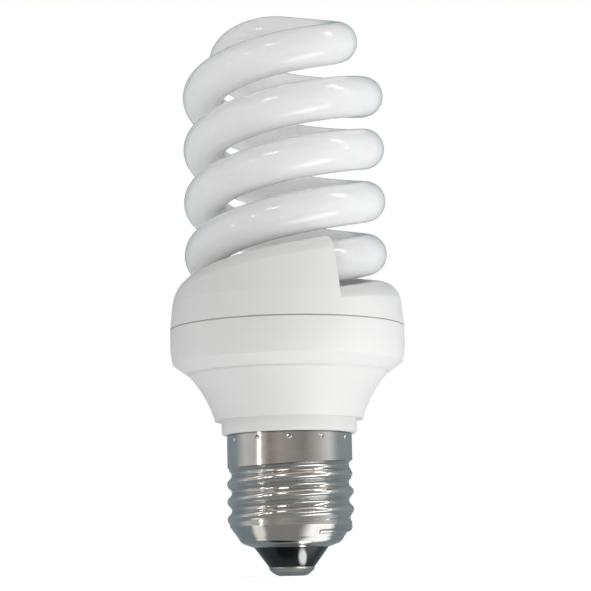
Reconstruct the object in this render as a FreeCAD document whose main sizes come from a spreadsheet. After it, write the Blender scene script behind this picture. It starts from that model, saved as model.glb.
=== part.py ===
import FreeCAD, Part
import Sketcher
import math
import os
import re

# A spiral energy saving lamp on an E27 screw cap, in millimetres, standing on its contact with +Z up.
# The front is -Y. Levels are heights above the contact's face, radii are from the lamp's axis.

SIZES = {
    # centre contact and the black glass round it
    "contact_face_radius": 2.5,
    "contact_radius": 4.7,
    "contact_height": 1.8,
    "contact_edge": 0.3,
    "contact_round": 3,
    "stem_radius": 1.2,
    "stem_height": 2.5,
    "insulator_radius": 7.65,
    "insulator_height": 4.0,
    "insulator_plug": 1.6,
    # screw shell: rolled E27 thread under a plain skirt
    "shell_height": 23.25,
    "shell_wall": 0.4,
    "shell_base_radius": 9.3,
    "shell_base_height": 0.6,
    "shell_cone_inset": 2.07,
    "shell_cone_height": 2.0,
    "shell_cone_top": 4.4,
    "shell_round": 2.2,
    "thread_proud": 0.13,
    "thread_depth": 0.95,
    "thread_round": 1.04,
    "thread_pitch": 3.629,
    "thread_start": -60,
    "thread_foot": 3.4,
    "thread_end_gap": 0.89,
    "thread_fade": 100,
    "thread_sink": 1.2,
    "ream": 0.05,
    "skirt_radius": 12.97,
    "skirt_height": 6.75,
    "skirt_bore_depth": 4.75,
    "stake_count": 12,
    "stake_radius": 0.8,
    "stake_depth": 0.22,
    "stake_drop": 1.1,
    # ballast case: neck, collar, flare, lip and band
    "neck_wall": 1.4,
    "neck_depth": 4.45,
    "collar_radius": 14.06,
    "collar_height": 2.95,
    "collar_round": 0.6,
    "flare_foot_radius": 15.4,
    "flare_height": 9.35,
    "flare_radius": 24,
    "step_depth": 0.55,
    "step_height": 0.45,
    "lip_overhang": 3.4,
    "lip_height": 2.05,
    "case_radius": 24.5,
    "case_wall": 1.6,
    "band_draft": 0.5,
    "band_round": 17.5,
    "band_round_height": 4.15,
    "band_height": 7.05,
    "ledge_rise": 3.15,
    "ledge_width": 2.6,
    "snap_drop": 2.6,
    "snap_height": 1.2,
    "snap_depth": 0.4,
    "fit_gap": 0.1,
    # tube cover: a ring of two rising hoods, each with a mouth that takes one end of the tube
    "seam_gap": 0.3,
    "seam_depth": 0.5,
    "cover_wall": 1.5,
    "cover_draft": 0.55,
    "spigot_wall": 1.3,
    "ridge_height": 5.6,
    "hood_wall": 1.25,
    "hood_crown": 5.8,
    "hood_round": 5,
    "mouth_angle": 116.5,
    "mouth_wall": 1.4,
    "well_wall": 2.3,
    "well_height": 5.6,
    # glass tube: two strands of one double helix joined by an S-shaped bridge
    "tube_diameter": 8.6,
    "tube_gap": 0.15,
    "tube_rise": 11.8,
    "bore_margin": 25,
    "tail_angle": 70,
    "tail_round": 2,
    "tip_radius": 1.1,
    "tip_length": 3,
    "coil_inset": 7.55,
    "coil_pitch": 22.6,
    "coil_turns": 1.985,
    "crown_rise": 6.6,
    # circuit board and the leads that pass through it
    "board_thickness": 1.6,
    "board_gap": 0.4,
    "lead_diameter": 0.6,
    "lead_hole": 0.9,
    "lead_end": 0.8,
    "wire_diameter": 1.3,
    "wire_bend": 2,
    "wire_offset": 7.6,
    "live_bend_height": 7,
    "live_slope_height": 5,
    "neutral_drop": 1.2,
    "tube_lead_diameter": 0.5,
    "tube_lead_spread": 2.2,
    "tube_lead_bend": 2.5,
    "tube_lead_run": 3.75,
    # smoothing capacitor, down in the neck
    "capacitor_diameter": 10,
    "capacitor_length": 15,
    "capacitor_lift": 2,
    "capacitor_pitch": 5,
    "capacitor_crimp": 0.4,
    "capacitor_crimp_height": 1.5,
    # choke: ferrite core, bobbin and winding
    "choke_offset": 8.2,
    "choke_gap": 0.3,
    "core_width": 13,
    "core_depth": 5.2,
    "core_height": 9.4,
    "core_leg": 4.2,
    "core_side": 1.4,
    "core_yoke": 1.6,
    "bobbin_gap": 0.1,
    "bobbin_wall": 0.5,
    "bobbin_flange": 0.7,
    "bobbin_reach": 4.9,
    "winding_inset": 0.4,
    "winding_round": 1.2,
    "choke_pin_pitch": 7,
    # feedback ring and its windings
    "ring_x": 7.4,
    "ring_y": 6.6,
    "ring_radius": 4.2,
    "ring_bore": 2.4,
    "ring_height": 3.6,
    "ring_drop": 1.8,
    "winding_count": 3,
    "winding_first": 45,
    "turn_thickness": 0.5,
    "turn_sweep": 50,
    # power transistors
    "transistor_one_x": -9.5,
    "transistor_one_y": 7,
    "transistor_two_x": -2.5,
    "transistor_two_y": 10.6,
    "transistor_radius": 2.4,
    "transistor_flat": 1.3,
    "transistor_height": 4.8,
    "transistor_drop": 3,
    "transistor_pitch": 1.4,
    # film capacitors
    "film_offset": 11.2,
    "film_back": 1.8,
    "film_thickness": 3.4,
    "film_width": 7.2,
    "film_height": 7.6,
    "film_round": 0.8,
    "film_drop": 0.4,
    "film_pitch": 5,
    # diodes and resistors, lying on the board
    "axial_gap": 0.3,
    "diode_span": 10.4,
    "resistor_span": 15,
    "axial_bend": 0.8,
    "diode_diameter": 2.6,
    "diode_length": 5,
    "diode_pitch": 3.6,
    "diode_first": 1.6,
    "resistor_diameter": 2.4,
    "resistor_length": 6.4,
    "resistor_pitch": 3.4,
    "resistor_first": 8.2,
}

doc = FreeCAD.newDocument("spiral_lamp")
sheet = doc.addObject("Spreadsheet::Sheet", "sizes")
for row, (alias, number) in enumerate(SIZES.items(), start=1):
    sheet.set(f"A{row}", alias)
    sheet.set(f"B{row}", str(number))
    sheet.setAlias(f"B{row}", alias)
doc.recompute()

# Levels and radii that several pieces share, as formulas of the sizes.
TUBE_RADIUS = "(tube_diameter / 2)"
SHELL_FOOT = "(contact_height + insulator_height)"
RIM = f"({SHELL_FOOT} + shell_height)"
SHOULDER = f"({RIM} + collar_height)"
LIP = f"({SHOULDER} + flare_height)"
LIP_TOP = f"({LIP} + step_height + lip_height)"
SEAM = f"({LIP_TOP} + band_height)"
LEDGE = f"({LIP} + ledge_rise)"
BOARD_TOP = f"({LEDGE} + board_thickness)"
SNAP = f"({SEAM} - snap_drop)"
RIDGE = f"({SEAM} + ridge_height)"
MOUTH = f"({SEAM} + tube_rise)"
CASE_BORE = "(case_radius - case_wall)"
NECK_RADIUS = "(skirt_radius - shell_wall - fit_gap)"
NECK_BORE = f"({NECK_RADIUS} - neck_wall)"
FLARE_TOP_RADIUS = "(case_radius - lip_overhang - step_depth)"
SPIGOT_RADIUS = f"({CASE_BORE} - fit_gap)"
THREAD_RADIUS = "(skirt_radius + thread_proud)"
THREAD_TURNS = "((shell_height - skirt_height - thread_foot - thread_end_gap) / thread_pitch)"
THREAD_MIDDLE = f"({THREAD_RADIUS} - thread_depth / 2)"
SHELL_CONE_RADIUS = "(skirt_radius - shell_cone_inset)"
SHELL_BORE = f"({THREAD_RADIUS} - thread_depth - shell_wall)"
LIP_SEAT_RADIUS = "(shell_base_radius - shell_wall)"
LIP_SEAT = f"({SHELL_FOOT} + shell_base_height + shell_wall)"
COIL_RADIUS = "(case_radius - coil_inset)"
WELL_RADIUS = f"({COIL_RADIUS} - {TUBE_RADIUS} - tube_gap - well_wall)"
CHOKE_TOP = f"({LEDGE} - choke_gap)"
CHOKE_FOOT = f"({CHOKE_TOP} - core_height)"


def size(formula):
    """The number that a formula of the sizes comes to."""
    return float(sheet.evalExpression(formula))


def bound(formula):
    """The same formula as another object of the document reads it."""
    return re.sub(r"[a-z_]+", lambda word: f"sizes.{word[0]}" if word[0] in SIZES else word[0], formula)


def point(x, y, z):
    return FreeCAD.Vector(size(x), size(y), size(z))


def origin_part(body, role):
    return [feature for feature in body.Origin.OriginFeatures if feature.Role == role][0]


def outline(body, name, corners):
    """A closed radial section. A corner is (radius, level), and one whose next edge is an arc goes on
    with the arc's radius and the side of its centre: 1 on the left of the way round, -1 on the right."""
    sketch = body.newObject("Sketcher::SketchObject", name)
    sketch.AttachmentSupport = [(origin_part(body, "XZ_Plane"), "")]
    sketch.MapMode = "FlatFace"
    spots = [FreeCAD.Vector(size(corner[0]), size(corner[1]), 0) for corner in corners]
    ends = []
    for corner, start, end in zip(corners, spots, spots[1:] + spots[:1]):
        if len(corner) == 2:
            sketch.addGeometry(Part.LineSegment(start, end))
            ends.append((1, 2))
            continue
        radius, side = size(corner[2]), corner[3]
        half = (end - start) * 0.5
        across = FreeCAD.Vector(-half.y, half.x, 0).normalize()
        centre = start + half + across * (side * math.sqrt(radius**2 - half.Length**2))
        first, last = (start, end) if side > 0 else (end, start)
        angles = [math.atan2(spot.y - centre.y, spot.x - centre.x) for spot in (first, last)]
        circle = Part.Circle(centre, FreeCAD.Vector(0, 0, 1), radius)
        sketch.addGeometry(Part.ArcOfCircle(circle, *angles))
        ends.append((1, 2) if side > 0 else (2, 1))
    for edge, corner in enumerate(corners):
        after = (edge + 1) % len(corners)
        sketch.addConstraint(Sketcher.Constraint("Coincident", edge, ends[edge][1], after, ends[after][0]))
        for kind, axis, formula in (("DistanceX", -2, corner[0]), ("DistanceY", -1, corner[1])):
            if formula == "0":
                sketch.addConstraint(Sketcher.Constraint("PointOnObject", edge, ends[edge][0], axis))
                continue
            place = (-1, 1, edge, ends[edge][0])
            index = sketch.addConstraint(Sketcher.Constraint(kind, *place, size(formula)))
            sketch.setExpression(f"Constraints[{index}]", bound(formula))
        if len(corner) > 2:
            index = sketch.addConstraint(Sketcher.Constraint("Radius", edge, size(corner[2])))
            sketch.setExpression(f"Constraints[{index}]", bound(corner[2]))
    return sketch


def turned(name, corners):
    """A body of one closed section turned round the lamp's axis."""
    body = doc.addObject("PartDesign::Body", name)
    section = outline(body, f"{name}_section", corners)
    turn = body.newObject("PartDesign::Revolution", f"{name}_turn")
    turn.Profile = section
    turn.ReferenceAxis = (section, ["V_Axis"])
    turn.Angle = 360
    doc.recompute()
    return body


def solid(kind, name, place, **sides):
    """A primitive whose sides and place follow the sizes."""
    piece = doc.addObject(kind, name)
    for side, formula in sides.items():
        piece.setExpression(side, bound(formula))
    for axis, formula in zip("xyz", place):
        piece.setExpression(f"Placement.Base.{axis}", bound(formula))
    return piece


def block(name, x, y, foot, length, width, height):
    """A box centred on (x, y) that stands on the level foot."""
    corner = (f"{x} - ({length}) / 2", f"{y} - ({width}) / 2", foot)
    return solid("Part::Box", name, corner, Length=length, Width=width, Height=height)


def rod(name, x, y, foot, radius, height):
    return solid("Part::Cylinder", name, (x, y, foot), Radius=radius, Height=height)


def cut(name, base, tool):
    piece = doc.addObject("Part::Cut", name)
    piece.Base = base
    piece.Tool = tool
    return piece


def fused(name, pieces):
    piece = doc.addObject("Part::MultiFuse", name)
    piece.Shapes = pieces
    return piece


def made(name, shape):
    """A piece whose shape is worked out here from the sizes."""
    piece = doc.addObject("Part::Feature", name)
    piece.Shape = shape
    return piece


def arcs_through(stations):
    """A smooth chain of arcs through stations of (place, direction), two arcs from each to the next."""
    edges = []
    for (start, leaving), (end, arriving) in zip(stations, stations[1:]):
        chord = end - start
        both = leaving + arriving
        turn = 1 - leaving.dot(arriving)
        lead = chord.dot(both)
        reach = (math.sqrt(lead**2 + 2 * turn * chord.dot(chord)) - lead) / (2 * turn)
        first_corner = start + leaving * reach
        last_corner = end - arriving * reach
        middle = (first_corner + last_corner) * 0.5
        for a, corner, b in ((start, first_corner, middle), (middle, last_corner, end)):
            weight = (b - a).Length / 2 / reach
            crest = ((a + b) * 0.5 + corner * weight) * (1 / (1 + weight))
            edges.append(Part.Arc(a, crest, b).toShape())
    return Part.Wire(edges)


def bent_path(corners, bend):
    """Straight runs joined by round bends of one radius."""
    edges = []
    start = corners[0]
    for before, corner, after in zip(corners, corners[1:], corners[2:]):
        back = (before - corner).normalize()
        onward = (after - corner).normalize()
        half = back.getAngle(onward) / 2
        first = corner + back * (bend / math.tan(half))
        last = corner + onward * (bend / math.tan(half))
        crest = corner + (back + onward).normalize() * (bend / math.sin(half) - bend)
        edges.append(Part.makeLine(start, first))
        edges.append(Part.Arc(first, crest, last).toShape())
        start = last
    edges.append(Part.makeLine(start, corners[-1]))
    return Part.Wire(edges)


def pipe(path, radius):
    """A round bar along a path, its volume held against its section times its length."""
    edge = path.OrderedEdges[0]
    start = path.OrderedVertexes[0].Point
    ring = Part.Wire(Part.Circle(start, edge.tangentAt(edge.FirstParameter), radius).toShape())
    bar = path.makePipeShell([ring], True, False)
    expected = math.pi * radius**2 * path.Length
    if abs(bar.Volume - expected) > 0.001 * expected:
        raise ValueError(f"a bar of {bar.Volume} where {expected} was expected")
    return bar


def half_turned(shape):
    """A copy of a shape on the other side of the lamp's axis."""
    copy = shape.copy()
    copy.rotate(FreeCAD.Vector(), FreeCAD.Vector(0, 0, 1), 180)
    return copy


def helix_station(angle, radius, level, pitch):
    """Place and direction on a right-handed helix, at an angle in degrees."""
    turn = math.radians(angle)
    place = FreeCAD.Vector(radius * math.cos(turn), radius * math.sin(turn), level)
    along = FreeCAD.Vector(-radius * math.sin(turn), radius * math.cos(turn), pitch / (2 * math.pi))
    return place, along.normalize()


STATION_STEP = 30


def strand(first, last):
    """Stations of one strand of the tube, from one angle to another, both counted from its mouth."""
    count = math.ceil((last - first) / STATION_STEP)
    stations = []
    for index in range(count + 1):
        turned_by = first + (last - first) * index / count
        level = size(MOUTH) + size("coil_pitch") * turned_by / 360
        angle = size("mouth_angle") + turned_by
        stations.append(helix_station(angle, size(COIL_RADIUS), level, size("coil_pitch")))
    return stations


def half_bridge():
    """Stations of half of the bridge: a half circle in plan, from the strand up to the lamp's axis."""
    radius = size(COIL_RADIUS) / 2
    length = math.pi * radius
    start = math.radians(size("mouth_angle") + 360 * size("coil_turns"))
    foot = size(MOUTH) + size("coil_pitch * coil_turns")
    slope = size("coil_pitch") / (2 * math.pi * size(COIL_RADIUS))
    rise = size("crown_rise")
    count = 180 // STATION_STEP
    stations = []
    for index in range(1, count + 1):
        way = index / count
        angle = start + math.pi * way
        level = foot + rise * (3 * way**2 - 2 * way**3) + slope * length * (way - 2 * way**2 + way**3)
        climb = rise * 6 * (way - way**2) / length + slope * (1 - 4 * way + 3 * way**2)
        x = radius * (math.cos(start) + math.cos(angle))
        y = radius * (math.sin(start) + math.sin(angle))
        along = FreeCAD.Vector(-math.sin(angle), math.cos(angle), climb)
        stations.append((FreeCAD.Vector(x, y, level), along.normalize()))
    return stations


def glass_tube():
    """One sealed tube: up one strand, across the bridge and down the other, with a tip at each end."""
    half = strand(-size("tail_angle"), 360 * size("coil_turns")) + half_bridge()
    other = [
        (FreeCAD.Vector(-place.x, -place.y, place.z), FreeCAD.Vector(along.x, along.y, -along.z))
        for place, along in reversed(half[:-1])
    ]
    tube = pipe(arcs_through(half + other), size(TUBE_RADIUS))
    ends = [face for face in tube.Faces if isinstance(face.Surface, Part.Plane)]
    tube = tube.makeFillet(size("tail_round"), [edge for face in ends for edge in face.Edges])
    place, along = half[0]
    length = size("tail_round + tip_length")
    tip = Part.makeCylinder(size("tip_radius"), length, place + along * size("tail_round"), along * -1)
    return made("glass_tube", tube.fuse([tip, half_turned(tip)]))


def tube_bores():
    """The room that the tube's ends need in the cover, from outside each mouth to past each end."""
    path = arcs_through(strand(size("-tail_angle - bore_margin"), size("bore_margin")))
    bore = pipe(path, size(f"{TUBE_RADIUS} + tube_gap"))
    return made("tube_bores", Part.makeCompound([bore, half_turned(bore)]))


HOOD_RADIUS = f"({COIL_RADIUS} + {TUBE_RADIUS} + hood_wall)"
RIDGE_RADIUS = "(case_radius - cover_draft)"
HOOD_LEAN = f"(({RIDGE_RADIUS} - {HOOD_RADIUS}) / (tube_rise - ridge_height))"
HOOD_TOP = f"({MOUTH} + hood_crown)"
RAMP_FOOT = f"({HOOD_TOP} - coil_pitch / 2)"
COVER_TOP = f"({HOOD_TOP} + cover_wall)"


def hooded(name, inset, foot_corners, turned_by):
    """A turned form whose top is cut into two ramps that rise with the tube, half a turn each.
    The form lies the given inset inside the cover's outer face."""
    wall_at_top = f"{RIDGE_RADIUS} - {HOOD_LEAN} * ({COVER_TOP} - {RIDGE}) - {inset}"
    well = f"{WELL_RADIUS} + {inset}"
    well_floor = f"{SEAM} + well_height - {inset}"
    corners = foot_corners + [
        (f"{RIDGE_RADIUS} - {inset}", RIDGE),
        (wall_at_top, COVER_TOP),
        (well, COVER_TOP),
        (well, well_floor),
        ("0", well_floor),
    ]
    body = turned(name, corners)
    ramp = f"({RAMP_FOOT} - {inset})"
    rounding = f"(hood_round - {inset})"
    slant = f"sqrt(1 + {HOOD_LEAN} ^ 2)"
    wall = f"({RIDGE_RADIUS} - {inset} - {HOOD_LEAN} * ({ramp} - {rounding} - {RIDGE}))"
    centre = f"({wall} - {rounding} * {slant})"
    arc_end = f"({ramp} - {rounding} + {rounding} * {HOOD_LEAN} / {slant})"
    outside = "case_radius + hood_round"
    above = f"{ramp} + coil_pitch"
    room = outline(body, f"{name}_ramp", [
        (centre, ramp, rounding, -1),
        (f"{centre} + {rounding} / {slant}", arc_end),
        (outside, arc_end),
        (outside, above),
        (f"({well}) / 2", above),
        (f"({well}) / 2", ramp),
    ])
    ramp_cut = body.newObject("PartDesign::SubtractiveHelix", f"{name}_ramp_cut")
    ramp_cut.Profile = room
    ramp_cut.ReferenceAxis = (origin_part(body, "Z_Axis"), [""])
    ramp_cut.Mode = "pitch-turns-angle"
    ramp_cut.setExpression("Pitch", bound("coil_pitch"))
    ramp_cut.Turns = 0.5
    ramp_cut.setExpression("Angle", bound(f"-atan({HOOD_LEAN})"))
    doc.recompute()
    pair = body.newObject("PartDesign::PolarPattern", f"{name}_ramps")
    pair.Originals = [ramp_cut]
    pair.Axis = (room, ["V_Axis"])
    pair.Angle = 360
    pair.Occurrences = 2
    body.Tip = pair
    body.Placement.Rotation = FreeCAD.Rotation(FreeCAD.Vector(0, 0, 1), size(turned_by))
    body.setExpression("Placement.Rotation.Angle", bound(turned_by))
    return body


def tube_cover():
    """The white cover: a spigot that snaps into the case, a leaning wall and the two hoods, hollow below."""
    spigot_foot = f"({BOARD_TOP} + fit_gap)"
    spigot_bore = f"({SPIGOT_RADIUS} - spigot_wall)"
    outside = hooded("cover_form", "0", [
        ("0", spigot_foot),
        (SPIGOT_RADIUS, spigot_foot),
        (SPIGOT_RADIUS, f"{SNAP} - snap_height / 2"),
        (f"{SPIGOT_RADIUS} + snap_depth", SNAP),
        (SPIGOT_RADIUS, f"{SNAP} + snap_height / 2"),
        (SPIGOT_RADIUS, SEAM),
        ("case_radius - seam_depth", SEAM),
        ("case_radius - seam_depth", f"{SEAM} + seam_gap"),
        ("case_radius", f"{SEAM} + seam_gap"),
    ], "mouth_angle")
    inside = hooded("cover_room", "cover_wall", [
        ("0", f"{spigot_foot} - spigot_wall"),
        (spigot_bore, f"{spigot_foot} - spigot_wall"),
        (spigot_bore, f"{SEAM} + seam_gap"),
        ("case_radius - cover_wall", f"{SEAM} + seam_gap + cover_wall"),
    ], f"mouth_angle - mouth_wall / {COIL_RADIUS} * 180 / pi")
    return cut("tube_cover", cut("cover_hollow", outside, inside), tube_bores())


def ballast_case():
    """The white case: a neck for the screw shell, a collar, a flare, a lip and a band with a snap groove."""
    neck_foot = f"{RIM} - neck_depth"
    groove = f"{CASE_BORE} + snap_depth + fit_gap"
    return turned("ballast_case", [
        (NECK_BORE, neck_foot),
        (NECK_RADIUS, neck_foot),
        (NECK_RADIUS, RIM),
        ("collar_radius - collar_round", RIM, "collar_round", 1),
        ("collar_radius", f"{RIM} + collar_round"),
        ("collar_radius", SHOULDER),
        ("flare_foot_radius", SHOULDER, "flare_radius", -1),
        (FLARE_TOP_RADIUS, LIP),
        (FLARE_TOP_RADIUS, f"{LIP} + step_height"),
        ("case_radius - lip_overhang", f"{LIP} + step_height"),
        ("case_radius - band_draft", LIP_TOP, "band_round", 1),
        ("case_radius", f"{LIP_TOP} + band_round_height"),
        ("case_radius", SEAM),
        (CASE_BORE, SEAM),
        (CASE_BORE, f"{SNAP} + snap_height / 2 + fit_gap"),
        (groove, f"{SNAP} + fit_gap"),
        (groove, f"{SNAP} - fit_gap"),
        (CASE_BORE, f"{SNAP} - snap_height / 2 - fit_gap"),
        (CASE_BORE, LEDGE),
        (f"{CASE_BORE} - ledge_width", LEDGE),
        (f"{FLARE_TOP_RADIUS} - case_wall", LIP, "flare_radius + case_wall", 1),
        ("flare_foot_radius - case_wall", f"{SHOULDER} + case_wall"),
        (NECK_BORE, f"{SHOULDER} + case_wall"),
    ])


def thread_bar(name, radius, lift, fade_shift):
    """A round bar along the thread, with its centre on a radius. At both ends it fades in or out by a shift
    of that radius. Lift is its level above the thread's own foot."""
    pitch = size("thread_pitch")
    fade = size("thread_fade")
    whole = 360 * size(THREAD_TURNS)
    count = math.ceil(whole / STATION_STEP)
    stations = []
    for index in range(count + 1):
        turned_by = whole * index / count
        short_of_end = min(turned_by, whole - turned_by, fade) / fade
        ease = (1 + math.cos(math.pi * short_of_end)) / 2
        level = size(f"{SHELL_FOOT} + thread_foot") + lift + pitch * turned_by / 360
        angle = size("thread_start") + turned_by
        stations.append(helix_station(angle, radius + fade_shift * ease, level, pitch))
    places = [place for place, along in stations]
    smooth = [stations[0]]
    for before, (place, along), after in zip(places, stations[1:], places[2:]):
        smooth.append((place, (after - before).normalize()))
    smooth.append(stations[-1])
    return made(name, pipe(arcs_through(smooth), size("thread_round")))


def screw_shell():
    """The rolled shell: a plain skirt, a thread of round crests and round grooves, and a dished foot."""
    skirt_foot = f"({RIM} - skirt_height)"
    skirt_bore = "(skirt_radius - shell_wall)"
    bore_foot = f"({RIM} - skirt_bore_depth)"
    sheet_form = turned("shell_form", [
        ("insulator_radius", SHELL_FOOT),
        ("shell_base_radius", f"{SHELL_FOOT} + shell_base_height", "shell_round", 1),
        (SHELL_CONE_RADIUS, f"{SHELL_FOOT} + shell_cone_height"),
        (THREAD_MIDDLE, f"{SHELL_FOOT} + shell_cone_top"),
        (THREAD_MIDDLE, f"{skirt_foot} - shell_wall"),
        ("skirt_radius", skirt_foot),
        ("skirt_radius", RIM),
        (skirt_bore, RIM),
        (skirt_bore, bore_foot),
        (SHELL_BORE, f"{bore_foot} - shell_wall"),
        (SHELL_BORE, f"{SHELL_FOOT} + shell_cone_top"),
        (f"{SHELL_CONE_RADIUS} - shell_wall", f"{SHELL_FOOT} + shell_cone_height + shell_wall / 2",
         "shell_round - shell_wall / 2", -1),
        (LIP_SEAT_RADIUS, LIP_SEAT),
        ("insulator_radius", f"{SHELL_FOOT} + shell_wall"),
    ])
    crest = thread_bar("thread_crest", size(f"{THREAD_RADIUS} - thread_round"), 0, -size("thread_sink"))
    root = size(f"{THREAD_RADIUS} - thread_depth + thread_round")
    groove = thread_bar("thread_groove", root, size("thread_pitch / 2"), size("thread_depth / 2"))
    crested = fused("shell_crested", [sheet_form, crest])
    rolled = cut("shell_rolled", crested, groove)
    reamed_foot = f"({SHELL_FOOT} + shell_cone_top - shell_wall)"
    reamed = f"{SHELL_BORE} + ream"
    reamer = rod("thread_reamer", "0", "0", reamed_foot, reamed, f"{bore_foot} - {reamed_foot}")
    threaded = cut("shell_threaded", rolled, reamer)
    dents = []
    for index in range(int(size("stake_count"))):
        dent = doc.addObject("Part::Sphere", f"stake_{index + 1}")
        dent.setExpression("Radius", bound("stake_radius"))
        reach = "(skirt_radius + stake_radius - stake_depth)"
        angle = f"({index} * 360 / stake_count)"
        dent.setExpression("Placement.Base.x", bound(f"{reach} * sin({angle})"))
        dent.setExpression("Placement.Base.y", bound(f"-{reach} * cos({angle})"))
        dent.setExpression("Placement.Base.z", bound(f"{RIM} - stake_drop"))
        dents.append(dent)
    return cut("screw_shell", threaded, fused("stakes", dents))


def cap_insulator():
    """Black glass moulded into the shell's foot, with a bore for the contact's stem."""
    bore = "(stem_radius + fit_gap)"
    plug_top = f"{LIP_SEAT} + insulator_plug"
    return turned("cap_insulator", [
        (bore, "contact_height"),
        ("contact_radius", "contact_height"),
        ("insulator_radius", SHELL_FOOT),
        ("insulator_radius", f"{SHELL_FOOT} + shell_wall"),
        (LIP_SEAT_RADIUS, LIP_SEAT),
        (f"{LIP_SEAT_RADIUS} - shell_wall", plug_top),
        (bore, plug_top),
    ])


def centre_contact():
    """The contact button, with the stem that the live wire is soldered to."""
    return turned("centre_contact", [
        ("0", "0"),
        ("contact_face_radius", "0", "contact_round", 1),
        ("contact_radius", "contact_height - contact_edge"),
        ("contact_radius", "contact_height"),
        ("stem_radius", "contact_height"),
        ("stem_radius", "contact_height + stem_height"),
        ("0", "contact_height + stem_height"),
    ])


drilled = []


def drill(name, x, y, radius):
    """A rod right through the board, for the hole of one lead."""
    return rod(f"{name}_hole", x, y, f"{LEDGE} - board_thickness", radius, "board_thickness * 3")


def lead(name, x, y, foot):
    """A lead that rises from a level through a hole of its own in the board."""
    drilled.append(drill(name, x, y, "lead_hole / 2"))
    return rod(name, x, y, foot, "lead_diameter / 2", f"{BOARD_TOP} + lead_end - ({foot})")


def smoothing_capacitor():
    """A can with a crimp near its seal, hanging by its leads into the neck."""
    top = f"({SHOULDER} + capacitor_lift)"
    foot = f"({top} - capacitor_length)"
    radius = "(capacitor_diameter / 2)"
    can = turned("capacitor_can", [
        ("0", foot),
        (radius, foot),
        (radius, f"{top} - 3 * capacitor_crimp_height"),
        (f"{radius} - capacitor_crimp", f"{top} - 2 * capacitor_crimp_height"),
        (radius, f"{top} - capacitor_crimp_height"),
        (radius, top),
        ("0", top),
    ])
    leads = [lead(f"capacitor_lead_{side}", f"{way} * capacitor_pitch / 2", "0", top) for side, way in SIDES]
    return fused("smoothing_capacitor", [can] + leads)


SIDES = (("left", "-1"), ("right", "1"))


def choke():
    """A ferrite core of two joined E halves, a bobbin on its middle leg and the winding on the bobbin."""
    y = "-choke_offset"
    window = "((core_width - core_leg) / 2 - core_side)"
    room_foot = f"({CHOKE_FOOT} + core_yoke)"
    room = "(core_height - 2 * core_yoke)"
    windows = []
    for side, way in SIDES:
        x = f"{way} * (core_leg + {window}) / 2"
        windows.append(block(f"core_window_{side}", x, y, room_foot, window, "core_depth * 2", room))
    ferrite = block("core_block", "0", y, CHOKE_FOOT, "core_width", "core_depth", "core_height")
    core = cut("choke_core", ferrite, fused("core_windows", windows))
    foot = f"({room_foot} + bobbin_gap)"
    height = f"({room} - 2 * bobbin_gap)"
    sleeve_length = "(core_leg + 2 * bobbin_gap + 2 * bobbin_wall)"
    sleeve_width = "(core_depth + 2 * bobbin_gap + 2 * bobbin_wall)"
    reach = "(2 * bobbin_reach)"
    pin_y = f"({y} + (core_depth / 2 + bobbin_reach) / 2)"
    upper = f"({foot} + {height} - bobbin_flange)"
    sleeve = block("bobbin_sleeve", "0", y, foot, sleeve_length, sleeve_width, height)
    solids = [
        sleeve,
        block("bobbin_lower", "0", y, foot, reach, reach, "bobbin_flange"),
        block("bobbin_upper", "0", y, upper, reach, reach, "bobbin_flange"),
    ]
    for side, way in SIDES:
        x = f"{way} * choke_pin_pitch / 2"
        solids.append(lead(f"choke_pin_{side}", x, pin_y, f"{upper} + bobbin_flange / 2"))
    leg_length = "core_leg + 2 * bobbin_gap"
    leg_width = "core_depth + 2 * bobbin_gap"
    bore = block("bobbin_bore", "0", y, CHOKE_FOOT, leg_length, leg_width, "core_height")
    bobbin = cut("choke_bobbin", fused("bobbin_solid", solids), bore)
    turns_height = f"({height} - 2 * bobbin_flange)"
    across = "(2 * bobbin_reach - 2 * winding_inset)"
    pack = block("winding_block", "0", y, f"{foot} + bobbin_flange", across, across, turns_height)
    rounded = doc.addObject("Part::Fillet", "winding_rounded")
    rounded.Base = pack
    doc.recompute()
    tall = size(turns_height) / 2
    upright = [i + 1 for i, edge in enumerate(pack.Shape.Edges) if edge.BoundBox.ZLength > tall]
    rounded.Edges = [(i, size("winding_round"), size("winding_round")) for i in upright]
    winding = cut("choke_winding", rounded, sleeve)
    return [core, bobbin, winding]


def feedback_ring():
    """A ferrite ring lying under the board, with small windings that hold it by their leads."""
    top = f"({LEDGE} - ring_drop)"
    foot = f"({top} - ring_height)"
    body = rod("ring_disc", "ring_x", "ring_y", foot, "ring_radius", "ring_height")
    bore = rod("ring_hole", "ring_x", "ring_y", f"{foot} - ring_height", "ring_bore", "ring_height * 3")
    ring = cut("feedback_ring", body, bore)
    pieces = [ring]
    for index in range(int(size("winding_count"))):
        angle = f"({index} * 360 / winding_count + winding_first)"
        name = f"ring_winding_{index + 1}"
        wide = rod(f"{name}_outside", "ring_x", "ring_y", f"{foot} - turn_thickness",
                   "ring_radius + turn_thickness", "ring_height + 2 * turn_thickness")
        wide.setExpression("Angle", bound("turn_sweep"))
        start = f"{angle} - turn_sweep / 2"
        wide.Placement.Rotation = FreeCAD.Rotation(FreeCAD.Vector(0, 0, 1), size(start))
        wide.setExpression("Placement.Rotation.Angle", bound(start))
        thin = rod(f"{name}_inside", "ring_x", "ring_y", f"{foot} - 2 * turn_thickness",
                   "ring_bore - turn_thickness", "ring_height + 4 * turn_thickness")
        loop = cut(f"{name}_loop", cut(f"{name}_wedge", wide, thin), ring)
        middle = "((ring_radius + ring_bore) / 2)"
        x = f"ring_x + {middle} * cos({angle})"
        y = f"ring_y + {middle} * sin({angle})"
        wire = lead(f"{name}_lead", x, y, f"{top} + turn_thickness / 2")
        pieces.append(fused(name, [loop, wire]))
    return pieces


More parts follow.
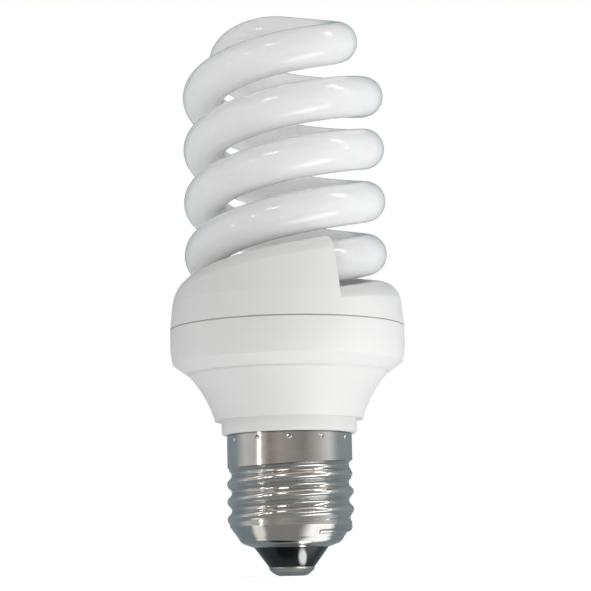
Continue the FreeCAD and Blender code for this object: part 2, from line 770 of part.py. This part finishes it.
def transistor(index, x, y):
    """A small power transistor with a flat front, hanging by three leads."""
    name = f"transistor_{index}"
    top = f"({LEDGE} - transistor_drop)"
    foot = f"({top} - transistor_height)"
    barrel = rod(f"{name}_barrel", x, y, foot, "transistor_radius", "transistor_height")
    front = block(f"{name}_front", x, f"{y} - transistor_flat - transistor_radius", foot,
                  "transistor_radius * 3", "transistor_radius * 2", "transistor_height")
    body = cut(f"{name}_body", barrel, front)
    solids = [body]
    for step in (-1, 0, 1):
        solids.append(lead(f"{name}_lead_{step + 2}", f"{x} + {step} * transistor_pitch", y, top))
    return fused(name, solids)


def film_capacitor(name, way):
    """A dipped film capacitor, rounded all over, standing on edge under the board on two leads."""
    x = f"({way} * film_offset)"
    top = f"({LEDGE} - film_drop)"
    foot = f"{top} - film_height"
    body = block(f"{name}_block", x, "-film_back", foot, "film_thickness", "film_width", "film_height")
    rounded = doc.addObject("Part::Fillet", f"{name}_rounded")
    rounded.Base = body
    doc.recompute()
    rounded.Edges = [(i + 1, size("film_round"), size("film_round")) for i in range(len(body.Shape.Edges))]
    leads = [
        lead(f"{name}_lead_{side}", x, f"-film_back + {across} * film_pitch / 2", f"{top} - film_round")
        for side, across in SIDES
    ]
    return fused(name, [rounded] + leads)


def axial(name, y, diameter, length, span):
    """A diode or resistor lying on the board, on one wire bent down through it at both ends."""
    level = size(f"{BOARD_TOP} + axial_gap + {diameter} / 2")
    foot = size(f"{LEDGE} - lead_end")
    reach = size(span) / 2
    line = size(y)
    bend = size("axial_bend")
    corners = [(-reach, foot), (-reach, level), (reach, level), (reach, foot)]
    route = bent_path([FreeCAD.Vector(x, line, z) for x, z in corners], bend)
    wire = pipe(route, size("lead_diameter / 2"))
    start = FreeCAD.Vector(-size(length) / 2, line, level)
    body = Part.makeCylinder(size(diameter) / 2, size(length), start, FreeCAD.Vector(1, 0, 0))
    for side, way in SIDES:
        drilled.append(drill(f"{name}_{side}", f"{way} * {span} / 2", y, "lead_hole / 2"))
    return made(name, body.fuse(wire))


def supply_wires():
    """The live wire from the contact's stem round the capacitor, and the neutral wire to the shell's wall."""
    side = "wire_offset"
    stem_top = "(contact_height + stem_height)"
    end = f"{BOARD_TOP} + lead_end"
    bend = size("wire_bend")
    radius = size("wire_diameter / 2")
    turn = f"({stem_top} + live_bend_height)"
    live = [
        point("0", "0", stem_top),
        point("0", "0", turn),
        point(side, "0", f"{turn} + live_slope_height"),
        point(side, "0", end),
    ]
    level = f"{RIM} - neck_depth - neutral_drop"
    neutral = [
        point(f"-{side}", "0", end),
        point(f"-{side}", "0", level),
        point(f"-{SHELL_BORE} + fit_gap", "0", level),
    ]
    for name, way in SIDES:
        drilled.append(drill(f"supply_{name}", f"{way} * {side}", "0", "wire_diameter / 2 + fit_gap"))
    return [
        made("live_wire", pipe(bent_path(live, bend), radius)),
        made("neutral_wire", pipe(bent_path(neutral, bend), radius)),
    ]


def tube_leads():
    """Two bare wires from each sealed end of the tube, bent down through the board."""
    pieces = []
    place, along = strand(-size("tail_angle"), 0)[0]
    outward = FreeCAD.Vector(place.x, place.y, 0).normalize()
    spread = size("tube_lead_spread")
    bend = size("tube_lead_bend")
    for side, way in (("inner", -1), ("outer", 1)):
        start = place + outward * (spread * way)
        corner = start - along * size("tube_lead_run")
        foot = FreeCAD.Vector(corner.x, corner.y, size(f"{LEDGE} - lead_end"))
        bar = pipe(bent_path([start, corner, foot], bend), size("tube_lead_diameter / 2"))
        hole = Part.makeCylinder(size("lead_hole / 2"), size("board_thickness * 3"), foot)
        for end, wire, room in (("back", bar, hole), ("front", half_turned(bar), half_turned(hole))):
            pieces.append(made(f"tube_lead_{end}_{side}", wire))
            drilled.append(made(f"tube_lead_{end}_{side}_hole", room))
    return pieces


def circuit_board():
    """A round board on the case's ledge, drilled for every lead."""
    disc = rod("board_disc", "0", "0", LEDGE, f"{CASE_BORE} - board_gap", "board_thickness")
    return cut("circuit_board", disc, fused("board_holes", drilled))


sub_parts = [centre_contact(), cap_insulator(), screw_shell(), ballast_case(), tube_cover(), glass_tube()]
sub_parts += [smoothing_capacitor()]
sub_parts += choke()
sub_parts += feedback_ring()
sub_parts.append(transistor(1, "transistor_one_x", "transistor_one_y"))
sub_parts.append(transistor(2, "transistor_two_x", "transistor_two_y"))
sub_parts += [film_capacitor("resonant_capacitor", "1"), film_capacitor("blocking_capacitor", "-1")]
for number in range(4):
    y = f"diode_first + {number} * diode_pitch"
    sub_parts.append(axial(f"diode_{number + 1}", y, "diode_diameter", "diode_length", "diode_span"))
for number, name in enumerate(("fuse_resistor", "start_resistor")):
    y = f"-resistor_first - {number} * resistor_pitch"
    sub_parts.append(axial(name, y, "resistor_diameter", "resistor_length", "resistor_span"))
sub_parts += supply_wires()
sub_parts += tube_leads()
sub_parts.append(circuit_board())

doc.recompute()
for item in doc.Objects:
    if "Invalid" in item.State or "Error" in item.State:
        raise RuntimeError(f"{item.Label} failed: {item.State}")
for piece in sub_parts:
    if piece.Shape.isNull() or not piece.Shape.isValid() or len(piece.Shape.Solids) != 1:
        raise RuntimeError(f"{piece.Label} is not one valid solid")

os.makedirs("parts", exist_ok=True)
for piece in sub_parts:
    piece.Shape.exportStep(f"parts/{piece.Label}.step")
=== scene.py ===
import math

import bmesh
import bpy
from mathutils import Matrix, Vector

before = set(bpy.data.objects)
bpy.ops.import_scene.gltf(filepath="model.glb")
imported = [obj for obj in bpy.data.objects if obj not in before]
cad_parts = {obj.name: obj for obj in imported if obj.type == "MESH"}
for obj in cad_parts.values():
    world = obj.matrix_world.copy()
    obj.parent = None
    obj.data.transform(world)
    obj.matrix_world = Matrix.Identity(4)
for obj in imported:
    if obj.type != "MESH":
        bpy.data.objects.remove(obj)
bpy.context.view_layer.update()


# Centre contact: a small pressed cup of plated brass, set into the bottom of the cap's glass.
# The dull plating is mottled, and a holder's spring leaves it finely scratched; the scratches are drawn
# coarser than life, so that they show.
MM = 0.001


def linear(hex_colour):
    """The linear colour of an sRGB hex value."""
    parts = [int(hex_colour[place:place + 2], 16) / 255 for place in (1, 3, 5)]
    return [p / 12.92 if p <= 0.04045 else ((p + 0.055) / 1.055) ** 2.4 for p in parts] + [1.0]


def add(tree, kind, inputs, **settings):
    """Adds one node with its settings; an input is a number, a colour or another node's output."""
    made = tree.nodes.new(kind)
    for name, value in settings.items():
        setattr(made, name, value)
    for socket, value in inputs.items():
        if isinstance(value, bpy.types.NodeSocket):
            tree.links.new(value, made.inputs[socket])
        else:
            made.inputs[socket].default_value = value
    return made


def surface(name, finish):
    """A material whose shader is what finish adds, given the tree and the object's own coordinates."""
    material = bpy.data.materials.new(name)
    material.use_nodes = True
    tree = material.node_tree
    tree.nodes.clear()
    place = add(tree, "ShaderNodeTexCoord", {}).outputs["Object"]
    shader = finish(tree, place)
    add(tree, "ShaderNodeOutputMaterial", {"Surface": shader.outputs[0]})
    return material


def dress(material, *names):
    """Gives the material to each of these nodes."""
    for name in names:
        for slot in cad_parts[name].material_slots:
            slot.material = material


def per_mm(size):
    """A noise scale whose blotches are about this many millimetres across."""
    return 1 / (size * MM)


def plated_brass(tree, place):
    blotch_mm, scratch_mm = 1.5, 0.25
    scratch_depth = 0.05 * MM
    blotch = add(tree, "ShaderNodeTexNoise", {
        "Vector": place, "Scale": per_mm(blotch_mm), "Detail": 6,
    }).outputs["Fac"]
    scratch = add(tree, "ShaderNodeTexNoise", {
        "Vector": place, "Scale": per_mm(scratch_mm), "Detail": 3,
    }).outputs["Fac"]
    tone = add(tree, "ShaderNodeMix", {
        0: blotch, 6: linear("#9a9c9a"), 7: linear("#d0d0cb"),
    }, data_type="RGBA")
    rough = add(tree, "ShaderNodeMapRange", {"Value": blotch, "To Min": 0.22, "To Max": 0.46})
    dent = add(tree, "ShaderNodeBump", {"Height": scratch, "Strength": 0.12, "Distance": scratch_depth})
    return add(tree, "ShaderNodeBsdfPrincipled", {
        "Base Color": tone.outputs[2],
        "Metallic": 1.0,
        "Roughness": rough.outputs[0],
        "Normal": dent.outputs[0],
    })


dress(surface("plated_brass", plated_brass), "centre_contact")


# Cap insulator: black glass pressed hot between the contact and the screw shell.
# It is nearly a mirror, faintly wavy from the pressing, with a few dull spots of dust.
def black_pressed_glass(tree, place):
    flow_mm, dust_mm = 4, 0.5
    flow_depth = 0.2 * MM
    flow = add(tree, "ShaderNodeTexNoise", {
        "Vector": place, "Scale": per_mm(flow_mm), "Detail": 3,
    }).outputs["Fac"]
    dust = add(tree, "ShaderNodeTexNoise", {
        "Vector": place, "Scale": per_mm(dust_mm), "Detail": 2,
    }).outputs["Fac"]
    tone = add(tree, "ShaderNodeMix", {
        0: flow, 6: linear("#090b0b"), 7: linear("#191d1c"),
    }, data_type="RGBA")
    rough = add(tree, "ShaderNodeMapRange", {"Value": dust, "To Min": 0.03, "To Max": 0.14})
    wave = add(tree, "ShaderNodeBump", {"Height": flow, "Strength": 0.35, "Distance": flow_depth})
    return add(tree, "ShaderNodeBsdfPrincipled", {
        "Base Color": tone.outputs[2],
        "IOR": 1.52,
        "Roughness": rough.outputs[0],
        "Normal": wave.outputs[0],
    })


dress(surface("black_pressed_glass", black_pressed_glass), "cap_insulator")


# Screw shell: thin nickel-plated steel, rolled to the thread and staked to the case round its skirt.
# Rolling marks along the thread, a blotchy film, painted shade that darkens the valleys against lighter
# crests, and a dark joint at the rim.
def nickel_plated_steel(tree, place):
    crest_radius = 13.1 * MM
    valley_radius = 12.2 * MM
    rim_level = 29.05 * MM
    joint_height = 0.35 * MM
    rolling_mm, film_mm = 5, 3
    rolling_flatness = 8
    rolling_depth = 0.12 * MM
    axes = add(tree, "ShaderNodeSeparateXYZ", {"Vector": place}).outputs
    flat = add(tree, "ShaderNodeCombineXYZ", {"X": axes["X"], "Y": axes["Y"]}).outputs[0]
    radius = add(tree, "ShaderNodeVectorMath", {0: flat}, operation="LENGTH").outputs["Value"]
    raised = add(tree, "ShaderNodeMapRange", {
        "Value": radius, "From Min": valley_radius, "From Max": crest_radius,
    }).outputs[0]
    joint = add(tree, "ShaderNodeMapRange", {
        "Value": axes["Z"], "From Min": rim_level - joint_height, "From Max": rim_level,
    }).outputs[0]
    stretched = add(tree, "ShaderNodeMapping", {
        "Vector": place, "Scale": (1, 1, rolling_flatness),
    }).outputs[0]
    rolling = add(tree, "ShaderNodeTexNoise", {
        "Vector": stretched, "Scale": per_mm(rolling_mm), "Detail": 5,
    }).outputs["Fac"]
    film = add(tree, "ShaderNodeTexNoise", {
        "Vector": place, "Scale": per_mm(film_mm), "Detail": 6,
    }).outputs["Fac"]
    # Painted shade: the tone darkens from the crests down into the valleys, under the film's random
    # blotches.
    film_and_valley_shade = add(tree, "ShaderNodeMath", {0: film, 1: raised}, operation="ADD").outputs[0]
    film_and_valley_shade = add(tree, "ShaderNodeMapRange", {"Value": film_and_valley_shade, "From Min": 0.4, "From Max": 1.5}).outputs[0]
    tone = add(tree, "ShaderNodeMix", {
        0: film_and_valley_shade, 6: linear("#cac7c3"), 7: linear("#dbd7d2"),
    }, data_type="RGBA")
    tone = add(tree, "ShaderNodeMix", {
        0: joint, 6: tone.outputs[2], 7: linear("#4c4a48"),
    }, data_type="RGBA")
    rough = add(tree, "ShaderNodeMapRange", {"Value": film, "To Min": 0.05, "To Max": 0.2})
    marks = add(tree, "ShaderNodeBump", {"Height": rolling, "Strength": 0.14, "Distance": rolling_depth})
    return add(tree, "ShaderNodeBsdfPrincipled", {
        "Base Color": tone.outputs[2],
        "Metallic": 1.0,
        "Roughness": rough.outputs[0],
        "Normal": marks.outputs[0],
    })


dress(surface("nickel_plated_steel", nickel_plated_steel), "screw_shell")


# Supply wires and tube leads: tinned copper, the two supply wires in a sleeve of soft white plastic.
# They run inside the closed housing, from the cap and from the tube's ends to the board.
def mottled(dark, light, blotch_mm, metallic, rough_low, rough_high):
    """A finish of two close tones in blotches of a given size, a little rougher where it is lighter."""
    pore_depth = 0.03 * MM

    def finish(tree, place):
        blotch = add(tree, "ShaderNodeTexNoise", {
            "Vector": place, "Scale": per_mm(blotch_mm), "Detail": 5,
        }).outputs["Fac"]
        tone = add(tree, "ShaderNodeMix", {0: blotch, 6: linear(dark), 7: linear(light)}, data_type="RGBA")
        rough = add(tree, "ShaderNodeMapRange", {"Value": blotch, "To Min": rough_low, "To Max": rough_high})
        pores = add(tree, "ShaderNodeBump", {"Height": blotch, "Strength": 0.2, "Distance": pore_depth})
        return add(tree, "ShaderNodeBsdfPrincipled", {
            "Base Color": tone.outputs[2],
            "Metallic": metallic,
            "Roughness": rough.outputs[0],
            "Normal": pores.outputs[0],
        })
    return finish


soft_wire_sleeve = mottled("#c0bcb2", "#e4e2dc", 2, 0, 0.4, 0.65)
tinned_copper = mottled("#979690", "#d0cfcb", 0.6, 1, 0.2, 0.5)
tube_leads = [f"tube_lead_{end}_{side}" for end in ("back", "front") for side in ("inner", "outer")]
dress(surface("soft_wire_sleeve", soft_wire_sleeve), "live_wire", "neutral_wire")
dress(surface("tinned_copper", tinned_copper), *tube_leads)


# Ballast case and tube cover: the lower and upper shells of the housing, moulded in white plastic.
# A satin skin with a fine spark-eroded grain, drawn coarser than life so that it shows, and a faint
# unevenness from the mould.
def white_moulded_plastic(tree, place):
    cloud_mm, grain_mm = 14, 0.3
    grain_depth = 0.03 * MM
    cloud = add(tree, "ShaderNodeTexNoise", {
        "Vector": place, "Scale": per_mm(cloud_mm), "Detail": 3,
    }).outputs["Fac"]
    grain = add(tree, "ShaderNodeTexNoise", {
        "Vector": place, "Scale": per_mm(grain_mm), "Detail": 2,
    }).outputs["Fac"]
    tone = add(tree, "ShaderNodeMix", {
        0: cloud, 6: linear("#dddddc"), 7: linear("#e5e5e4"),
    }, data_type="RGBA")
    rough = add(tree, "ShaderNodeMapRange", {"Value": cloud, "To Min": 0.38, "To Max": 0.52})
    skin = add(tree, "ShaderNodeBump", {"Height": grain, "Strength": 0.08, "Distance": grain_depth})
    return add(tree, "ShaderNodeBsdfPrincipled", {
        "Base Color": tone.outputs[2],
        "IOR": 1.5,
        "Roughness": rough.outputs[0],
        "Normal": skin.outputs[0],
    })


dress(surface("white_moulded_plastic", white_moulded_plastic), "ballast_case", "tube_cover")


# Circuit board: pressed paper laminate, sawn round and clamped between the case's ledge and the cover.
# Brown, with the paper's fibres showing as fine streaks.
def paper_laminate(tree, place):
    fibre_mm = 3
    fibre_slimness = 6
    stretched = add(tree, "ShaderNodeMapping", {
        "Vector": place, "Scale": (1, fibre_slimness, 1),
    }).outputs[0]
    fibre = add(tree, "ShaderNodeTexNoise", {
        "Vector": stretched, "Scale": per_mm(fibre_mm), "Detail": 8,
    }).outputs["Fac"]
    tone = add(tree, "ShaderNodeMix", {
        0: fibre, 6: linear("#86602c"), 7: linear("#d6ac68"),
    }, data_type="RGBA")
    rough = add(tree, "ShaderNodeMapRange", {"Value": fibre, "To Min": 0.4, "To Max": 0.65})
    return add(tree, "ShaderNodeBsdfPrincipled", {
        "Base Color": tone.outputs[2],
        "Roughness": rough.outputs[0],
    })


dress(surface("paper_laminate", paper_laminate), "circuit_board")


# Choke and feedback ring: ground grey ferrite, a black bobbin and windings of enamelled copper wire.
# The wires show as fine even ridges, with painted shade in the grooves between them.
def enamelled_copper(tree, place):
    wire_pitch = 0.35 * MM
    ridge_height = 0.1 * MM
    bands = add(tree, "ShaderNodeTexWave", {
        "Vector": place, "Scale": math.pi / 10 / wire_pitch,
    }, wave_type="BANDS", bands_direction="Z").outputs["Fac"]
    # Painted shade: the tone darkens with the bands, in the grooves between the turns of wire.
    tone = add(tree, "ShaderNodeMix", {
        0: bands, 6: linear("#7a3414"), 7: linear("#c4692f"),
    }, data_type="RGBA")
    ridge = add(tree, "ShaderNodeBump", {"Height": bands, "Strength": 0.8, "Distance": ridge_height})
    return add(tree, "ShaderNodeBsdfPrincipled", {
        "Base Color": tone.outputs[2],
        "Metallic": 1.0,
        "Roughness": 0.3,
        "Coat Weight": 0.6,
        "Normal": ridge.outputs[0],
    })


ground_ferrite = mottled("#242426", "#4a4a4d", 0.4, 0, 0.45, 0.75)
black_bobbin_plastic = mottled("#121214", "#262629", 3, 0, 0.3, 0.5)
windings = ["choke_winding"] + [f"ring_winding_{number}" for number in (1, 2, 3)]
dress(surface("enamelled_copper", enamelled_copper), *windings)
dress(surface("ground_ferrite", ground_ferrite), "choke_core", "feedback_ring")
dress(surface("black_bobbin_plastic", black_bobbin_plastic), "choke_bobbin")


# Capacitors, transistors, diodes and resistors: moulded, dipped or sleeved bodies on tinned leads.
# Each has the colour and gloss of its kind.
shrunk_blue_sleeve = mottled("#10172d", "#212b4b", 6, 0, 0.25, 0.45)
dipped_red_lacquer = mottled("#732213", "#9f3823", 1.5, 0, 0.12, 0.33)
black_epoxy = mottled("#101010", "#282828", 0.3, 0, 0.45, 0.7)
beige_lacquer = mottled("#ae9463", "#d6be90", 1, 0, 0.35, 0.55)
moulded = ["transistor_1", "transistor_2"] + [f"diode_{number}" for number in (1, 2, 3, 4)]
dress(surface("shrunk_blue_sleeve", shrunk_blue_sleeve), "smoothing_capacitor")
dress(surface("dipped_red_lacquer", dipped_red_lacquer), "resonant_capacitor", "blocking_capacitor")
dress(surface("black_epoxy", black_epoxy), *moulded)
dress(surface("beige_lacquer", beige_lacquer), "fuse_resistor", "start_resistor")


# Glass tube: clear drawn glass with a white powder coating inside, coiled hot and sealed.
# Light soaks through the powder under a wet gloss, faintly wavy from the bending, and the tube's edges
# are painted grey, standing in for the clear wall's darker reflections there.
def coated_glass(tree, place):
    powder_mm, bend_mm = 9, 11
    bend_depth = 0.2 * MM
    soak_depth = 28 * MM
    powder = add(tree, "ShaderNodeTexNoise", {
        "Vector": place, "Scale": per_mm(powder_mm), "Detail": 4,
    }).outputs["Fac"]
    bend = add(tree, "ShaderNodeTexNoise", {
        "Vector": place, "Scale": per_mm(bend_mm), "Detail": 1,
    }).outputs["Fac"]
    tone = add(tree, "ShaderNodeMix", {
        0: powder, 6: linear("#f5f5f4"), 7: linear("#fafaf9"),
    }, data_type="RGBA")
    # Painted reflection: the base turns grey where the surface turns edge-on, for the clear wall's darker
    # look at the tube's edges.
    edge = add(tree, "ShaderNodeLayerWeight", {"Blend": 0.5}).outputs["Facing"]
    edge = add(tree, "ShaderNodeMapRange", {"Value": edge, "From Min": 0.6, "To Max": 0.8}).outputs[0]
    tone = add(tree, "ShaderNodeMix", {
        0: edge, 6: tone.outputs[2], 7: linear("#a4abae"),
    }, data_type="RGBA")
    wave = add(tree, "ShaderNodeBump", {"Height": bend, "Strength": 0.12, "Distance": bend_depth})
    return add(tree, "ShaderNodeBsdfPrincipled", {
        "Base Color": tone.outputs[2],
        "Roughness": 0.6,
        "Specular IOR Level": 0.1,
        "Subsurface Weight": 1.0,
        "Subsurface Radius": (1.0, 1.0, 1.0),
        "Subsurface Scale": soak_depth,
        "Coat Weight": 1.0,
        "Coat Roughness": 0.1,
        "Coat IOR": 1.5,
        "Coat Normal": wave.outputs[0],
    })


dress(surface("coated_glass", coated_glass), "glass_tube")


# Floor: a wide sheet of matt white paper under the bulb, white to the eye like the background.
# It takes the bulb's soft shadow close by, and is lifted more to white further out, past the studio lamps.
FLOOR_REACH = 3.0


def white_paper(tree, place):
    near, far = 150 * MM, 900 * MM
    near_lift, far_lift = 0.39, 0.58
    out = add(tree, "ShaderNodeVectorMath", {0: place}, operation="LENGTH").outputs["Value"]
    lift = add(tree, "ShaderNodeMapRange", {
        "Value": out, "From Min": near, "From Max": far, "To Min": near_lift, "To Max": far_lift,
    }).outputs[0]
    eye_only = add(tree, "ShaderNodeLightPath", {}).outputs["Is Camera Ray"]
    lift = add(tree, "ShaderNodeMath", {0: eye_only, 1: lift}, operation="MULTIPLY").outputs[0]
    paper = add(tree, "ShaderNodeBsdfDiffuse", {"Color": linear("#f8f8f8")})
    glow = add(tree, "ShaderNodeEmission", {"Color": linear("#ffffff"), "Strength": lift})
    return add(tree, "ShaderNodeAddShader", {0: paper.outputs[0], 1: glow.outputs[0]})


def staged(name, form, material):
    """Makes an object of the studio from a bmesh."""
    mesh = bpy.data.meshes.new(name)
    form.to_mesh(mesh)
    form.free()
    mesh.materials.append(material)
    made = bpy.data.objects.new(name, mesh)
    bpy.context.scene.collection.objects.link(made)
    return made


form = bmesh.new()
bmesh.ops.create_grid(form, x_segments=1, y_segments=1, size=FLOOR_REACH)
staged("floor", form, surface("white_paper", white_paper))


# Studio screen: a round screen about the bulb, in greys that run into one another, and a grey ceiling.
# Only the gloss of the metal and the glass shows it.
SCREEN_RADIUS = 1.6
SCREEN_HEIGHT = 1.5
SCREEN_SIDES = 96
# Each tone stands at an azimuth in degrees; 0 is the camera's side, and it grows to the right.
SCREEN_TONES = [
    (-180, "#7b8f98"),
    (-115, "#8e9aa1"),
    (-90, "#cfd2d3"),
    (-48, "#bcb8b3"),
    (-38, "#8c8781"),
    (-18, "#aaa6a2"),
    (28, "#8c8b88"),
    (45, "#adacab"),
    (76, "#e2e5e8"),
    (98, "#9aa4a8"),
    (180, "#7f939c"),
]


def in_gloss_only(made):
    """Hides it from the eye and from soft light, so that only reflections see it."""
    made.visible_camera = False
    made.visible_diffuse = False
    made.visible_transmission = False
    made.visible_shadow = False


def screen_cloth(tree, place):
    axes = add(tree, "ShaderNodeSeparateXYZ", {"Vector": place}).outputs
    towards = add(tree, "ShaderNodeMath", {0: axes["Y"], 1: -1.0}, operation="MULTIPLY").outputs[0]
    azimuth = add(tree, "ShaderNodeMath", {0: axes["X"], 1: towards}, operation="ARCTAN2").outputs[0]
    share = add(tree, "ShaderNodeMapRange", {
        "Value": azimuth, "From Min": -math.pi, "From Max": math.pi,
    }).outputs[0]
    tones = add(tree, "ShaderNodeValToRGB", {"Fac": share})
    ramp = tones.color_ramp
    for turn, _ in SCREEN_TONES[1:-1]:
        ramp.elements.new((turn + 180) / 360)
    for element, (_, colour) in zip(ramp.elements, SCREEN_TONES):
        element.color = linear(colour)
    return add(tree, "ShaderNodeEmission", {"Color": tones.outputs["Color"], "Strength": 1.0})


def grey_card(tree, place):
    return add(tree, "ShaderNodeEmission", {"Color": linear("#8f8a84"), "Strength": 1.0})


form = bmesh.new()
ring = bmesh.ops.create_circle(form, segments=SCREEN_SIDES, radius=SCREEN_RADIUS)["verts"]
rim = list({edge for vert in ring for edge in vert.link_edges})
wall = bmesh.ops.extrude_edge_only(form, edges=rim)["geom"]
wall_top = [part for part in wall if isinstance(part, bmesh.types.BMVert)]
bmesh.ops.translate(form, vec=(0, 0, SCREEN_HEIGHT), verts=wall_top)
in_gloss_only(staged("studio_screen", form, surface("screen_cloth", screen_cloth)))
form = bmesh.new()
bmesh.ops.create_circle(form, cap_ends=True, segments=SCREEN_SIDES, radius=SCREEN_RADIUS)
bmesh.ops.translate(form, vec=(0, 0, SCREEN_HEIGHT), verts=form.verts)
in_gloss_only(staged("ceiling", form, surface("grey_card", grey_card)))


# Pools of light and shade on the floor round the cap, which its gloss shows: the bulb's own shade in front
# and below, a bright place on its right and a grey one on its left.
POOL_LAYER = 0.1 * MM
# Each pool has its place and size in millimetres, its colour and its strength; a later one lies higher.
POOLS = [
    ("floor_shade", 0, 0, 1400, 1400, "#8d989e", 1.0),
    ("front_shade", -25, -150, 190, 290, "#7c7c7a", 1.0),
    ("left_shade", -22, -4, 60, 50, "#87939a", 1.0),
    ("foot_tone", -2, -14, 34, 20, "#949594", 1.0),
    ("right_light", 12.5, -9.5, 23, 18, "#f8f9fa", 1.7),
    ("left_glint", -13.5, -9, 10, 9, "#f4f1ec", 1.2),
    ("cap_shade", -3, -8.6, 13, 6.5, "#2f3534", 1.0),
    ("under_contact", 0, -3, 10, 9, "#a8acac", 1.0),
    ("small_light", 3.7, -6.2, 3.8, 5, "#ffffff", 14.0),
    ("far_light", -211, -22, 70, 50, "#ffffff", 3.0),
    ("long_light", 92, -66, 190, 84, "#ffffff", 4.5),
]


def soft_oval(width, depth, colour, strength):
    """A finish that glows in an oval of this size and fades to nothing at its edge."""
    fade_from = 0.45

    def finish(tree, place):
        oval = add(tree, "ShaderNodeMapping", {"Vector": place, "Scale": (2 / width, 2 / depth, 0)})
        out = add(tree, "ShaderNodeVectorMath", {0: oval.outputs[0]}, operation="LENGTH").outputs["Value"]
        edge = add(tree, "ShaderNodeMapRange", {
            "Value": out, "From Min": fade_from, "From Max": 1.0, "To Min": 1.0, "To Max": 0.0,
        }, interpolation_type="SMOOTHSTEP").outputs[0]
        clear = add(tree, "ShaderNodeBsdfTransparent", {})
        tone = add(tree, "ShaderNodeEmission", {"Color": linear(colour), "Strength": strength})
        return add(tree, "ShaderNodeMixShader", {0: edge, 1: clear.outputs[0], 2: tone.outputs[0]})
    return finish


for layer, (name, x, y, width, depth, colour, strength) in enumerate(POOLS, start=1):
    form = bmesh.new()
    bmesh.ops.create_grid(form, x_segments=1, y_segments=1, size=0.5)
    bmesh.ops.scale(form, vec=(width * MM, depth * MM, 1), verts=form.verts)
    pool = staged(name, form, surface(name, soft_oval(width * MM, depth * MM, colour, strength)))
    pool.location = (x * MM, y * MM, layer * POOL_LAYER)
    in_gloss_only(pool)


# White background: the world is plain white to the eye and in gloss and glass, and softer as a light,
# with less of it from the left than from the right.
LEFT_AMBIENT = 0.34
RIGHT_AMBIENT = 0.56
world = bpy.data.worlds.new("studio")
world.use_nodes = True
bpy.context.scene.world = world
sky = world.node_tree
sky.nodes.clear()
ray = add(sky, "ShaderNodeLightPath", {}).outputs
seen = add(sky, "ShaderNodeMath", {0: ray["Is Camera Ray"], 1: ray["Is Glossy Ray"]}, operation="MAXIMUM")
seen = add(sky, "ShaderNodeMath", {0: seen.outputs[0], 1: ray["Is Transmission Ray"]}, operation="MAXIMUM")
towards = add(sky, "ShaderNodeTexCoord", {}).outputs["Generated"]
across = add(sky, "ShaderNodeSeparateXYZ", {"Vector": towards}).outputs["X"]
ambient = add(sky, "ShaderNodeMapRange", {
    "Value": across, "From Min": -1.0, "From Max": 1.0, "To Min": LEFT_AMBIENT, "To Max": RIGHT_AMBIENT,
}).outputs[0]
level = add(sky, "ShaderNodeMapRange", {"Value": seen.outputs[0], "To Min": ambient, "To Max": 1.0})
air = add(sky, "ShaderNodeBackground", {"Color": linear("#ffffff"), "Strength": level.outputs[0]})
add(sky, "ShaderNodeOutputWorld", {"Surface": air.outputs[0]})


# Studio lamps: a large soft key from the right, a soft one behind, a faint glow from the floor,
# and small lamps that show as points and dashes in the glass and the metal.
BULB_MIDDLE = Vector((0, 0, 60 * MM))
LAMP_DISTANCE = 1.0
DOWN = Vector((0, 0, -1))
# Each lamp has its azimuth and elevation in degrees, its width and height in metres and its power in watts.
SOFT_LAMPS = [
    ("soft_key", 62, 5, 0.5, 0.6, 0.75),
    ("soft_back", 180, 6, 0.35, 0.5, 3.0),
]
SHARP_LAMPS = [
    ("window", 72, 48, 0.12, 0.44, 1.3),
    ("window_low", 75, 15, 0.1, 0.1, 0.25),
    ("tube_light", -21, 41, 0.25, 0.11, 0.8),
    ("spot_1", -39, 21, 0.09, 0.09, 0.3),
    ("spot_2", -47, 18, 0.06, 0.08, 0.18),
    ("spot_3", -57, 2, 0.07, 0.1, 0.2),
    ("side_window", -76, 42, 0.2, 0.3, 0.25),
]
# These lie on the floor and shine up, and their places are in millimetres.
FLOOR_LAMPS = [
    ("floor_strip", (110, -58, 3), 0.14, 0.06, 0.07),
    ("floor_glow", (150, 0, 1), 1.0, 1.0, 1.0),
]


def direction(azimuth, elevation):
    """A unit vector towards the light; azimuth 0 is the camera's side and grows to the right."""
    turn = math.radians(azimuth)
    rise = math.radians(elevation)
    return Vector((math.sin(turn) * math.cos(rise), -math.cos(turn) * math.cos(rise), math.sin(rise)))


def lamp(name, place, back, width, height, power, in_gloss):
    """A rectangular lamp whose back points the given way."""
    light = bpy.data.lights.new(name, "AREA")
    light.shape = "RECTANGLE"
    light.size, light.size_y = width, height
    light.energy = power
    made = bpy.data.objects.new(name, light)
    made.location = place
    made.rotation_euler = back.to_track_quat("Z", "Y").to_euler()
    made.visible_camera = False
    made.visible_glossy = in_gloss
    bpy.context.scene.collection.objects.link(made)


for lamps, in_gloss in ((SOFT_LAMPS, False), (SHARP_LAMPS, True)):
    for name, azimuth, elevation, width, height, power in lamps:
        away = direction(azimuth, elevation)
        lamp(name, BULB_MIDDLE + LAMP_DISTANCE * away, away, width, height, power, in_gloss)
for name, place, width, depth, power in FLOOR_LAMPS:
    lamp(name, [part * MM for part in place], DOWN, width, depth, power, False)


# Camera: near the floor and looking up a little, as the photograph does.
# Its place and angles were fitted to the cap and to the seam's and the lip's ellipses.
IMAGE_SIZE = 591
FOCAL_PIXELS = 1972
SENSOR = 36.0
CAMERA_PLACE = Vector((0, -410 * MM, 1 * MM))
TILT_UP = 7.945
TURN_RIGHT = 0.26
ROLL = 1.16
view = bpy.data.cameras.new("photograph")
view.sensor_width = SENSOR
view.lens = FOCAL_PIXELS * SENSOR / IMAGE_SIZE
view.clip_start = 10 * MM
camera = bpy.data.objects.new("photograph", view)
tilt = Matrix.Rotation(math.radians(90 + TILT_UP), 4, "X")
turn = Matrix.Rotation(math.radians(-TURN_RIGHT), 4, "Z")
roll = Matrix.Rotation(math.radians(-ROLL), 4, "Z")
camera.matrix_world = Matrix.Translation(CAMERA_PLACE) @ turn @ tilt @ roll
bpy.context.scene.collection.objects.link(camera)
bpy.context.scene.camera = camera
bpy.context.scene.view_settings.view_transform = "Standard"
